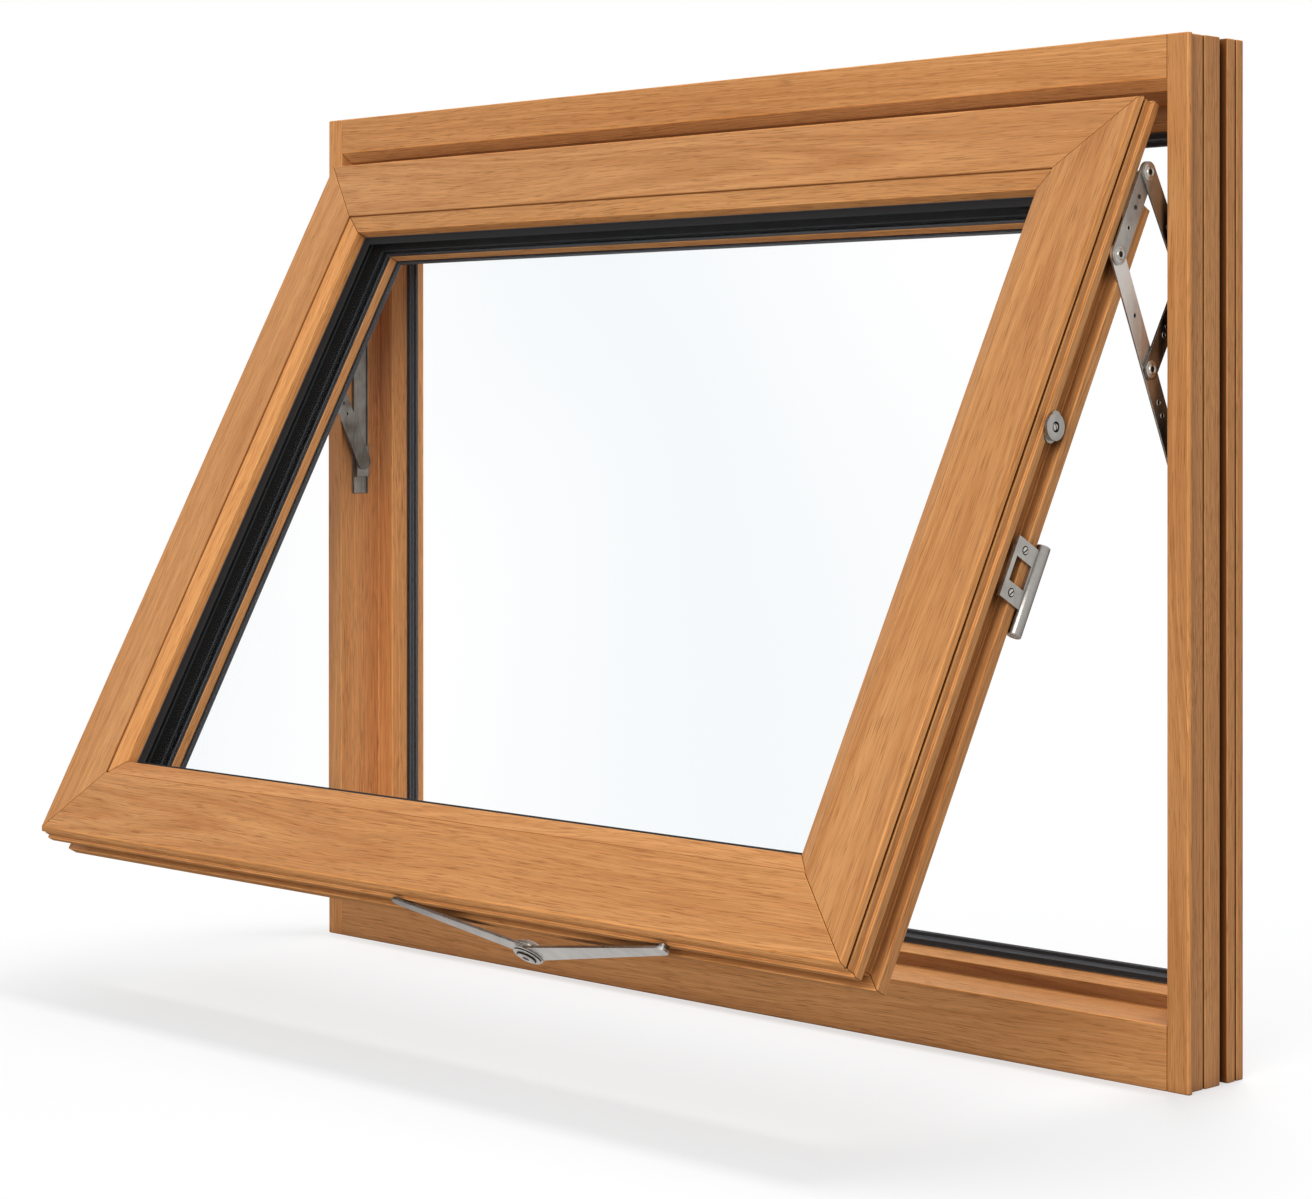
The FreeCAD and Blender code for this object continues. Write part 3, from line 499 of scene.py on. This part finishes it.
for name, front in PANE_FRONTS.items():
    near, back = front + BEDDING, front + PANE_THICKNESS - BEDDING
    rim = [
        (PANE_EDGE + PANE_ARRIS, near), (PANE_EDGE, near + PANE_ARRIS),
        (PANE_EDGE, back - PANE_ARRIS), (PANE_EDGE + PANE_ARRIS, back),
    ]
    pane_points, pane_faces = round_the_sash(rim, closed=False)
    starts = range(0, len(pane_points), len(rim))
    pane_faces.append(tuple(reversed(starts)))
    pane_faces.append(tuple(start + len(rim) - 1 for start in starts))
    sheet = add_piece(f"{name}_pane", pane_points, pane_faces, [glass])
    sheet.visible_shadow = False
    sheet.visible_diffuse = False
    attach(sheet, "root")
    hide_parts(f"glass_{name}_pane")

# Friction stays: bars pressed from stainless steel and joined by hollow rivets with pressed washers, with
# small eyelets and studs along the bars. The sliders run in tracks screwed to the jambs.
STEEL_HIGHLIGHT = (206, 203, 198)
STEEL_SHADED = (84, 77, 69)
BRUSH_SCALE, BRUSH_SWING = (500.0, 500.0, 45.0), 0.3
BRUSH_RANGE, BRUSH_ROUGHER = (0.3, 0.7), 0.12
BRUSH_BUMP, BRUSH_DEPTH = 0.1, 0.0002
PATCH_SCALE, PATCH_SWING = 60.0, 0.5


def steel(name, node, low_share, high_share, roughness):
    """Brushed stainless steel, with painted shade and painted highlight mixed up the height of a piece by the
    shares given for its bottom and top.
    """
    finish, tree, surface = new_finish(name)
    place = shade(tree, "TexCoord").outputs["Object"]
    low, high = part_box(node)
    rise = ramp(tree, distance_along(tree, place, UPRIGHT), low.z, high.z, low_share, high_share)
    streak = shade(tree, "VectorMath", {"operation": "MULTIPLY"}, i0=place, i1=BRUSH_SCALE).outputs[0]
    brush = shade(tree, "TexNoise", Vector=streak, Scale=1.0, Detail=3.0, Roughness=0.6).outputs["Fac"]
    patch = shade(tree, "TexNoise", Vector=place, Scale=PATCH_SCALE, Detail=2.0).outputs["Fac"]
    share = work(tree, "ADD", rise, swing(tree, brush, BRUSH_SWING))
    share = work(tree, "ADD", share, swing(tree, patch, PATCH_SWING))
    colour = stain(tree, ramp(tree, share, 0.0, 1.0), paint(*STEEL_SHADED), paint(*STEEL_HIGHLIGHT))
    tree.links.new(colour, surface.inputs["Base Color"])
    surface.inputs["Metallic"].default_value = 1.0
    rough = ramp(tree, brush, *BRUSH_RANGE, roughness, roughness + BRUSH_ROUGHER)
    tree.links.new(rough, surface.inputs["Roughness"])
    bump = shade(tree, "Bump", Height=brush, Strength=BRUSH_BUMP, Distance=BRUSH_DEPTH)
    tree.links.new(bump.outputs[0], surface.inputs["Normal"])
    return finish


SPECKS, SPECK_RANGE, SPECK_TONES = 400.0, (0.3, 0.7), (0.82, 1.1)


def plain_steel(name, colour, roughness):
    """Unbrushed steel with fine specks, for fasteners, and in tones that paint highlights on edges and shade
    in hollows.
    """
    finish, tree, surface = new_finish(name)
    place = shade(tree, "TexCoord").outputs["Object"]
    speck = shade(tree, "TexNoise", Vector=place, Scale=SPECKS, Detail=2.0).outputs["Fac"]
    tint = stain(tree, 1.0, paint(*colour), ramp(tree, speck, *SPECK_RANGE, *SPECK_TONES), "MULTIPLY")
    tree.links.new(tint, surface.inputs["Base Color"])
    surface.inputs["Metallic"].default_value = 1.0
    surface.inputs["Roughness"].default_value = roughness
    return finish


# Edges painted pale as a highlight; a shaded tone for studs and for edges kept in shade; a deep shade for
# hollows.
highlight_steel = plain_steel("highlight_steel", (226, 224, 220), 0.3)
rivet_steel = plain_steel("rivet_steel", (176, 172, 165), 0.32)
deep_shade_steel = plain_steel("deep_shade_steel", (38, 34, 30), 0.5)
shaded_steel = plain_steel("shaded_steel", STEEL_SHADED, 0.4)
MILLIMETRE = 0.001


def walls(rows, count):
    """The faces between rows of points, each row a closed round of so many points."""
    faces = []
    for row in range(rows - 1):
        one, two = row * count, (row + 1) * count
        for step in range(count):
            following = (step + 1) % count
            faces.append((one + step, one + following, two + following, two + step))
    return faces


def turned(outline, seat, axis, sides=40, shaded_rows=()):
    """Points and faces of a turned form: radii and heights in millimetres, spun round an axis on its seat.
    The face within the last radius closes it. That face and the shaded rows take the second finish, painted
    shade for hollows."""
    aside = axis.orthogonal().normalized()
    across = axis.cross(aside)
    points = []
    for radius, height in outline:
        for step in range(sides):
            turn = 2 * math.pi * step / sides
            round_it = aside * math.cos(turn) + across * math.sin(turn)
            points.append(seat + (round_it * radius + axis * height) * MILLIMETRE)
    faces = walls(len(outline), sides)
    last = (len(outline) - 1) * sides
    faces.append(tuple(last + step for step in range(sides)))
    faces.append(tuple(reversed(range(sides))))
    finish_picks = [int(row in shaded_rows) for row in range(len(outline) - 1) for step in range(sides)]
    return points, faces, finish_picks + [1, 0]


def gather(name, forms, finishes):
    """Several forms made into one piece."""
    points, faces, finish_picks = [], [], []
    for form_points, form_faces, form_finish_picks in forms:
        start = len(points)
        points += form_points
        faces += [tuple(start + index for index in face) for face in form_faces]
        finish_picks += form_finish_picks
    piece = add_piece(name, points, faces, finishes, finish_picks)
    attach(piece, "root")


STEEL_ARRIS = 0.0004
BAR_ROUGH = 0.3
# Shares of painted highlight against painted shade at the bottom and top of each bar; the left stay is
# painted darker as a whole, as shade.
SIDE_SHARE = {"left": 0.35, "right": 1.0}
BAR_SHARES = {
    "track": (0.5, 0.6), "slider": (0.5, 0.5), "arm": (0.0, 1.15), "sash_plate": (0.55, 0.3),
    "upper_link": (0.05, 0.5), "lower_link": (0.1, 0.2),
}
for side, side_share in SIDE_SHARE.items():
    for bar, shares in BAR_SHARES.items():
        node = f"stay_{bar}_{side}"
        dress(node, steel(f"steel_{node}", node, *(share * side_share for share in shares), BAR_ROUGH))
        # Edges of the right stay are painted as highlight, those of the left stay in shade.
        ease(node, STEEL_ARRIS, highlight_steel if side == "right" else shaded_steel)
BAR_END = 0.008
SASH_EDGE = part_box("sash_stile_right")[1].x
STAY_LAYER = 0.005 / 3
SEATING = 0.0001


def bar_ends(bar, side, outdoors_high):
    """The two pivots of a stay's bar, outdoors first. Their place across the window is left at nought."""
    low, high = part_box(f"stay_{bar}_{side}")
    up, down = high.z - BAR_END, low.z + BAR_END
    first, last = (up, down) if outdoors_high else (down, up)
    return Vector((0, low.y + BAR_END, first)), Vector((0, high.y - BAR_END, last))


def on_layer(outward, point, layer):
    """A point on the outer face of one of the stay's three layers of bars."""
    return outward * (SASH_EDGE + (layer + 1) * STAY_LAYER - SEATING) + point


RIVET = [(6.6, 0), (6.6, 0.3), (6.2, 0.6), (5.0, 0.72), (4.3, 0.72), (4.0, 0.95), (3.9, 1.4), (3.5, 1.75),
         (2.9, 1.75), (2.4, 1.5), (2.2, 1.24)]
EYELET = [(2.4, 0), (2.2, 0.25), (1.9, 0.32), (1.6, 0.2), (1.5, 0.02)]
STUD = [(1.9, 0), (1.9, 0.25), (1.6, 0.4), (1.0, 0.4), (0.8, 0.2)]
ARM_EYELETS, PLATE_EYELET, UPPER_EYELET, LOWER_EYELETS = (0.27, 0.66, 0.72), 0.68, 0.55, (0.42, 0.52)
PLATE_STUDS = (0.3, 0.43)
SMALL_SIDES = 24
for side, sign in (("left", -1), ("right", 1)):
    outward = ALONG_SILL * sign
    plate = bar_ends("sash_plate", side, False)
    arm = bar_ends("arm", side, True)
    upper = bar_ends("upper_link", side, True)
    lower = bar_ends("lower_link", side, False)
    rivets = [on_layer(outward, *pivot) for pivot in ((upper[0], 2), (plate[0], 1), (lower[0], 1))]
    eyelets = [on_layer(outward, arm[0].lerp(arm[1], share), 0) for share in ARM_EYELETS]
    eyelets.append(on_layer(outward, plate[1].lerp(plate[0], PLATE_EYELET), 1))
    eyelets.append(on_layer(outward, upper[0].lerp(upper[1], UPPER_EYELET), 2))
    eyelets += [on_layer(outward, lower[0].lerp(lower[1], share), 1) for share in LOWER_EYELETS]
    studs = [on_layer(outward, plate[1].lerp(plate[0], share), 1) for share in PLATE_STUDS]
    rivet_forms = [turned(RIVET, seat, outward) for seat in rivets]
    eyelet_forms = [turned(EYELET, seat, outward, SMALL_SIDES) for seat in eyelets]
    stud_forms = [turned(STUD, seat, outward, SMALL_SIDES) for seat in studs]
    gather(f"stay_rivets_{side}", rivet_forms, [rivet_steel, deep_shade_steel])
    gather(f"stay_eyelets_{side}", eyelet_forms, [rivet_steel, deep_shade_steel])
    gather(f"stay_studs_{side}", stud_forms, [shaded_steel, deep_shade_steel])

# Stile hardware: a locking roller held by a slotted screw, and a catch plate rolled into an open barrel and
# held by two slotted screws, on each stile's edge.
# Shares of painted highlight against painted shade at the bottom and top of each piece.
HARDWARE_SHARES = {"roller_cam": (0.4, 0.5), "catch": (0.35, 0.6)}
HARDWARE_ROUGH = 0.26
SCREW_RADIUS, SCREW_SIDES = 2.5, 32
SCREW_HEIGHT, ROLLER_SCREW_HEIGHT = 0.9, 1.3
SCREW_BEVEL, DISC_WALL, DISC_TOP = 0.25, 0.3, 0.45
HALF_FOOT, HALF_SHOULDER = 0.4, 0.2
SHOULDER_INSET, CROWN_INSET = 0.3, 0.7
SLOT_HALF = 0.55
RIM_STEPS = 14


def slotted_screw(seat, axis, slot_along, height):
    """A screw head, in millimetres: a low bevelled disc with two raised halves beside its slot."""
    inner = SCREW_RADIUS - SCREW_BEVEL
    disc = [(SCREW_RADIUS, 0), (SCREW_RADIUS, DISC_WALL), (inner, DISC_TOP)]
    forms = [turned(disc, seat, axis, SCREW_SIDES)]
    across = axis.cross(slot_along)
    start = math.asin(SLOT_HALF / inner)
    rim = [start + (math.pi - 2 * start) * step / RIM_STEPS for step in range(RIM_STEPS + 1)]
    levels = ((HALF_FOOT, SCREW_BEVEL), (height - HALF_SHOULDER, SHOULDER_INSET), (height, CROWN_INSET))
    count = len(rim)
    last = (len(levels) - 1) * count
    for side in (-1, 1):
        points = []
        for level, inset in levels:
            reach = SCREW_RADIUS - inset
            for turn in rim:
                aside = max(math.sin(turn) * reach, SLOT_HALF)
                spot = slot_along * (math.cos(turn) * reach) + across * (aside * side)
                points.append(seat + (spot + axis * level) * MILLIMETRE)
        faces = [tuple(range(last, last + count)), tuple(reversed(range(count)))]
        faces += walls(len(levels), count)
        if side < 0:
            faces = [tuple(reversed(face)) for face in faces]
        forms.append((points, faces, [0] * len(faces)))
    return forms


BARREL_BRUSH, BARREL_SWING = (900.0, 900.0, 60.0), 0.25
BARREL_RANGE, BARREL_ROUGH = (0.45, 1.5), 0.3
CROWN_OUTWARD, CROWN_FORWARD = 0.8, 0.6


def barrel_steel(side, outward):
    """Steel with a painted highlight along the barrel's crown and painted shade down its flanks, by which way
    each face turns.
    """
    finish, tree, surface = new_finish(f"barrel_steel_{side}")
    place = shade(tree, "TexCoord").outputs["Object"]
    facing = shade(tree, "NewGeometry").outputs["Normal"]
    crest = (outward * CROWN_OUTWARD + SASH_OUT * CROWN_FORWARD).normalized()
    crown = distance_along(tree, facing, crest)
    streak = shade(tree, "VectorMath", {"operation": "MULTIPLY"}, i0=place, i1=BARREL_BRUSH).outputs[0]
    brush = shade(tree, "TexNoise", Vector=streak, Scale=1.0, Detail=2.0).outputs["Fac"]
    share = work(tree, "ADD", crown, swing(tree, brush, BARREL_SWING))
    colour = stain(tree, ramp(tree, share, *BARREL_RANGE), paint(*STEEL_SHADED), paint(*STEEL_HIGHLIGHT))
    tree.links.new(colour, surface.inputs["Base Color"])
    surface.inputs["Metallic"].default_value = 1.0
    surface.inputs["Roughness"].default_value = BARREL_ROUGH
    return finish


# Dark wells round the screws, their walls painted as shade.
ROLLER_WELL = [(3.98, 0.02), (3.98, 0.1), (2.3, 0.12)]
ROLLER_DROP, ROLLER_BACK = 0.266, 0.022
ROLLER_FACE, SOCKET_DEPTH = 0.004, 0.0012
SCREW_WELL = [(3.4, 0.0), (3.3, 0.08), (2.3, 0.1)]
WELL_WALLS = (0, 1)
CATCH_DROP, CATCH_FACE = 0.375, 0.003
CATCH_SCREW_BACK, CATCH_SCREW_STEP = 0.0345, 0.0165
BARREL = [(4.4, 0), (5.0, 0.2), (5.34, 0.8), (5.34, 69.2), (5.0, 69.8), (4.4, 70), (3.1, 70), (2.9, 69)]
BARREL_DROP, BARREL_BACK, BARREL_OUT = 0.3465, 0.05345, 0.0015
BARREL_SIDES = 48
ROLLER_SLOT = (UP_SASH + SASH_OUT * 0.8).normalized()
CATCH_SLOT = (UP_SASH - SASH_OUT * 0.6).normalized()
screw_steel = plain_steel("screw_steel", (196, 192, 186), 0.3)
for side, sign in (("left", -1), ("right", 1)):
    outward = ALONG_SILL * sign
    for part, shares in HARDWARE_SHARES.items():
        node = f"sash_{part}_{side}"
        dress(node, steel(f"steel_{node}", node, *shares, HARDWARE_ROUGH))
        ease(node, STEEL_ARRIS, highlight_steel)
    seat = sash_point(sign * (SASH_EDGE + ROLLER_FACE - SOCKET_DEPTH), ROLLER_BACK, ROLLER_DROP)
    roller_forms = [turned(ROLLER_WELL, seat, outward, SCREW_SIDES, WELL_WALLS)]
    roller_forms += slotted_screw(seat, outward, ROLLER_SLOT, ROLLER_SCREW_HEIGHT)
    gather(f"roller_screw_{side}", roller_forms, [screw_steel, deep_shade_steel])
    catch_forms = []
    for step in (-CATCH_SCREW_STEP, CATCH_SCREW_STEP):
        seat = sash_point(sign * (SASH_EDGE + CATCH_FACE), CATCH_SCREW_BACK, CATCH_DROP + step)
        catch_forms.append(turned(SCREW_WELL, seat, outward, SCREW_SIDES, WELL_WALLS))
        catch_forms += slotted_screw(seat, outward, CATCH_SLOT, SCREW_HEIGHT)
    gather(f"catch_screws_{side}", catch_forms, [screw_steel, deep_shade_steel])
    seat = sash_point(sign * (SASH_EDGE + BARREL_OUT), BARREL_BACK, BARREL_DROP)
    barrel_form = turned(BARREL, seat, -UP_SASH, BARREL_SIDES)
    gather(f"catch_barrel_{side}", [barrel_form], [barrel_steel(side, outward), deep_shade_steel])

# Restrictor: two flat steel arms folded at a riveted knuckle with stacked washers, parked under the bottom
# rail. Each arm turns on a small round foot that is screwed to the rail's edge strip.
# Shares of painted highlight against painted shade at the bottom and top of each piece; the left arm is
# painted paler low and darker high.
RESTRICTOR_SHARES = {
    "left_arm": (0.8, 0.1), "right_arm": (0.75, 0.6), "left_foot": (0.1, 0.1), "right_foot": (0.1, 0.1),
}
for part, shares in RESTRICTOR_SHARES.items():
    node = f"restrictor_{part}"
    dress(node, steel(f"steel_{node}", node, *shares, HARDWARE_ROUGH))
    # Arm edges are painted as highlight, foot edges in shade.
    ease(node, STEEL_ARRIS, shaded_steel if part.endswith("foot") else highlight_steel)
left_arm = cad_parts["restrictor_left_arm"].data
fold = max(left_arm.polygons, key=lambda face: face.area).normal
fold = fold.copy() if fold.z > 0 else -fold
LEVEL_WITHIN = 0.00005


def furthest(mesh, direction):
    """The middle of a mesh's points that lie furthest along a direction."""
    reach = max(corner.co.dot(direction) for corner in mesh.vertices)
    ends = [corner.co for corner in mesh.vertices if corner.co.dot(direction) > reach - LEVEL_WITHIN]
    low = Vector(min(corner[axis] for corner in ends) for axis in range(3))
    high = Vector(max(corner[axis] for corner in ends) for axis in range(3))
    return (low + high) / 2


KNUCKLE_TOP = [(12.5, 0), (12.5, 1.0), (12.0, 1.4), (10.4, 1.4), (10.4, 2.4), (10.0, 2.8), (6.6, 2.8),
               (6.4, 4.0), (5.4, 4.8), (2.6, 5.0), (2.2, 4.4)]
KNUCKLE_FOOT = [(12.6, 0), (13.0, 0.3), (12.6, 0.9), (11.0, 1.0), (11.0, 1.5), (11.6, 1.7), (11.2, 2.3),
                (8.4, 2.4), (8.4, 2.9), (7.4, 3.5), (3.0, 3.8)]
KNUCKLE_SHADED = (3, 4, 7, 8)
KNUCKLE_SIDES = 40
RIVET_HEIGHT = 0.0016
BAR_THICKNESS = 0.0022
knuckle_top = furthest(left_arm, fold) - fold * RIVET_HEIGHT
knuckle_foot = knuckle_top - fold * (2 * BAR_THICKNESS)
# The gaps between the knuckle's washers are painted as shade.
knuckle_forms = [
    turned(KNUCKLE_TOP, knuckle_top, fold, KNUCKLE_SIDES),
    turned(KNUCKLE_FOOT, knuckle_foot, -fold, KNUCKLE_SIDES, KNUCKLE_SHADED),
]
gather("restrictor_knuckle", knuckle_forms, [rivet_steel, deep_shade_steel])

# Studio: a white floor that takes the window's soft shadow, white surroundings, one large soft lamp in front
# and a smaller one above.
FLOOR_REACH = 14.0
FLOOR_WHITE = (0.415, 0.42, 0.426, 1)
FLOOR_BOUNCE = (0.42, 0.42, 0.42, 1)
FLOOR_LIFT = 0.56
FADE_MIDDLE = (0.3, -0.2, 0)
FADE_START, FADE_END = 0.62, 1.05
PURE_WHITE = (1, 1, 1, 1)
floor_mesh = bpy.data.meshes.new("floor")
corners = [(x * FLOOR_REACH, y * FLOOR_REACH, 0) for x, y in ((-1, -1), (1, -1), (1, 1), (-1, 1))]
floor_mesh.from_pydata(corners, [], [(0, 1, 2, 3)])
floor = bpy.data.objects.new("floor", floor_mesh)
bpy.context.collection.objects.link(floor)


def seen_directly(tree):
    """1 for the rays that show the studio as it looks, 0 for those that only light the window."""
    ray = shade(tree, "LightPath").outputs
    seen = work(tree, "MAXIMUM", ray["Is Camera Ray"], ray["Is Glossy Ray"])
    return work(tree, "MAXIMUM", seen, ray["Is Transmission Ray"])


paper, tree, surface = new_finish("floor_paper")
tree.nodes.remove(surface)
place = shade(tree, "TexCoord").outputs["Object"]
far = shade(tree, "VectorMath", {"operation": "DISTANCE"}, i0=place, i1=FADE_MIDDLE).outputs["Value"]
fade = shade(tree, "MapRange", {"interpolation_type": "SMOOTHSTEP"}, Value=far,
             **{"From Min": FADE_START, "From Max": FADE_END}).outputs[0]
seen = seen_directly(tree)
matt = shade(tree, "BsdfDiffuse", Color=stain(tree, seen, FLOOR_BOUNCE, FLOOR_WHITE))
lift = shade(tree, "Emission", Color=PURE_WHITE, Strength=work(tree, "MULTIPLY", seen, FLOOR_LIFT))
lifted = shade(tree, "AddShader", i0=matt.outputs[0], i1=lift.outputs[0])
glow = shade(tree, "Emission", Color=PURE_WHITE, Strength=1.0)
faded = work(tree, "MULTIPLY", fade, seen)
paper_mix = shade(tree, "MixShader", i0=faded, i1=lifted.outputs[0], i2=glow.outputs[0])
tree.links.new(paper_mix.outputs[0], tree.nodes["Material Output"].inputs["Surface"])
floor_mesh.materials.append(paper)
AMBIENT = 0.45
world = bpy.data.worlds.new("studio")
bpy.context.scene.world = world
world.use_nodes = True
tree = world.node_tree
tree.nodes.clear()
level = ramp(tree, seen_directly(tree), 0.0, 1.0, AMBIENT, 1.0)
sky = shade(tree, "Background", Color=PURE_WHITE, Strength=level)
sky_out = shade(tree, "OutputWorld")
tree.links.new(sky.outputs[0], sky_out.inputs["Surface"])
middle = (Vector(cad_box[0]) + Vector(cad_box[1])) / 2


def soft_lamp(name, place, size, power):
    """A round soft lamp that is turned to the middle of the window."""
    lamp = bpy.data.lights.new(name, "AREA")
    lamp.shape = "DISK"
    lamp.size = size
    lamp.energy = power
    holder = bpy.data.objects.new(name, lamp)
    holder.location = place
    holder.rotation_euler = (middle - Vector(place)).to_track_quat("-Z", "Y").to_euler()
    bpy.context.collection.objects.link(holder)


soft_lamp("front_lamp", place=(1.5, -3.2, 1.5), size=2.2, power=64.0)
soft_lamp("top_lamp", place=(0.1, 0.9, 3.0), size=0.9, power=50.0)

# Camera: level, at the photograph's height and quarter view. The lens is shifted instead of tilted, so that
# uprights stay upright.
CAMERA_PLACE = (1.8674, -1.9319, 0.5062)
CAMERA_TURN = math.radians(45.416)
LENS, SENSOR_WIDTH, LENS_SHIFT = 85.70, 36.0, -0.1455
camera = bpy.data.objects.new("camera", bpy.data.cameras.new("camera"))
camera.location = CAMERA_PLACE
camera.rotation_euler = (math.radians(90), 0, CAMERA_TURN)
camera.data.lens = LENS
camera.data.sensor_width = SENSOR_WIDTH
camera.data.shift_y = LENS_SHIFT
bpy.context.collection.objects.link(camera)
bpy.context.scene.camera = camera
bpy.context.scene.view_settings.view_transform = "Standard"
